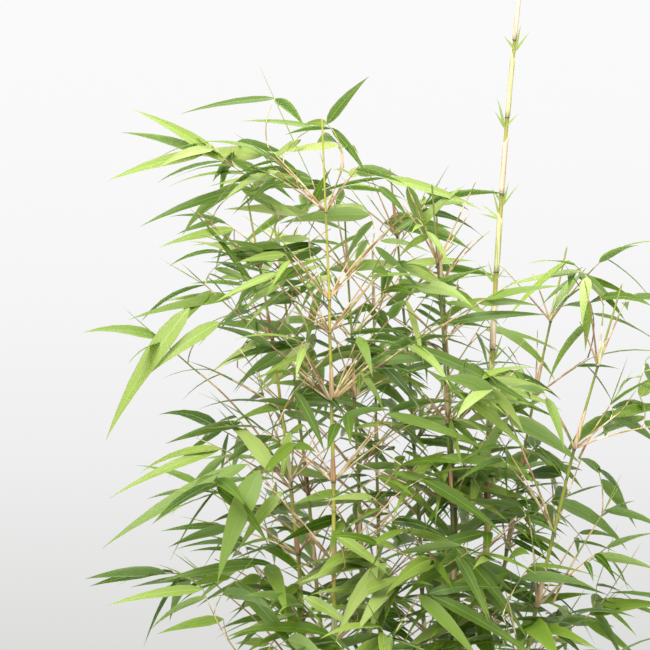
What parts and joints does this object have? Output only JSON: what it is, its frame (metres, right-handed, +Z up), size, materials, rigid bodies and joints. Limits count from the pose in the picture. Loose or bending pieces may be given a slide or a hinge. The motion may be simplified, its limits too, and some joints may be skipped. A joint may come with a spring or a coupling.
{
  "type": "potted bamboo plant",
  "caption": "Clump-forming bamboo in a plain round nursery pot: slender upright canes, fine boughs and drooping masses of long narrow leaves, with one tall bare new shoot.",
  "frame": {"origin": "centre of the flat underside of the pot", "axes": "+Z up along the canes; +Y to the plant's back; +X to the right as seen from the front"},
  "size_m": [0.6045, 0.4377, 1.2901],
  "materials": {
    "pot": "satin",
    "soil": "matte",
    "canes": "satin",
    "boughs": "satin",
    "leaves": "matte"
  },
  "bodies": {
    "root": {"bough_back_right": "boughs", "bough_foot_right": "boughs", "bough_front_low": "boughs", "bough_left_back": "boughs", "bough_left_foot": "boughs", "bough_left_out": "boughs", "bough_long_left": "boughs", "bough_long_right": "boughs", "bough_low_left": "boughs", "bough_low_right": "boughs", "bough_middle_right": "boughs", "bough_right_foot": "boughs", "bough_right_inward": "boughs", "bough_right_low": "boughs", "bough_right_out": "boughs", "bough_top_left": "boughs", "bough_upper_left": "boughs", "bough_upper_right": "boughs", "cane_back": "canes", "cane_back_left": "canes", "cane_centre": "canes", "cane_far_right": "canes", "cane_far_right_rear": "canes", "cane_inner": "canes", "cane_left": "canes", "cane_middle": "canes", "cane_right_front": "canes", "cane_right_rear": "canes", "cane_tall_shoot": "canes", "foliage_back_lower_left": "leaves", "foliage_back_lower_right": "leaves", "foliage_back_middle": "leaves", "foliage_back_top": "leaves", "foliage_back_upper_left": "leaves", "foliage_back_upper_right": "leaves", "foliage_centre_low": "leaves", "foliage_centre_upper": "leaves", "foliage_crown_centre": "leaves", "foliage_crown_left": "leaves", "foliage_far_right_low": "leaves", "foliage_far_right_middle": "leaves", "foliage_far_right_top": "leaves", "foliage_far_right_upper": "leaves", "foliage_front_low": "leaves", "foliage_front_low_left": "leaves", "foliage_left_hanging": "leaves", "foliage_left_inner": "leaves", "foliage_left_low": "leaves", "foliage_left_middle": "leaves", "foliage_left_rear": "leaves", "foliage_left_top": "leaves", "foliage_left_upper": "leaves", "foliage_right_centre": "leaves", "foliage_right_low": "leaves", "foliage_right_lower": "leaves", "foliage_right_middle": "leaves", "foliage_right_top": "leaves", "foliage_right_upper": "leaves", "pot": "pot", "soil": "soil"}
  },
  "joints": []
}
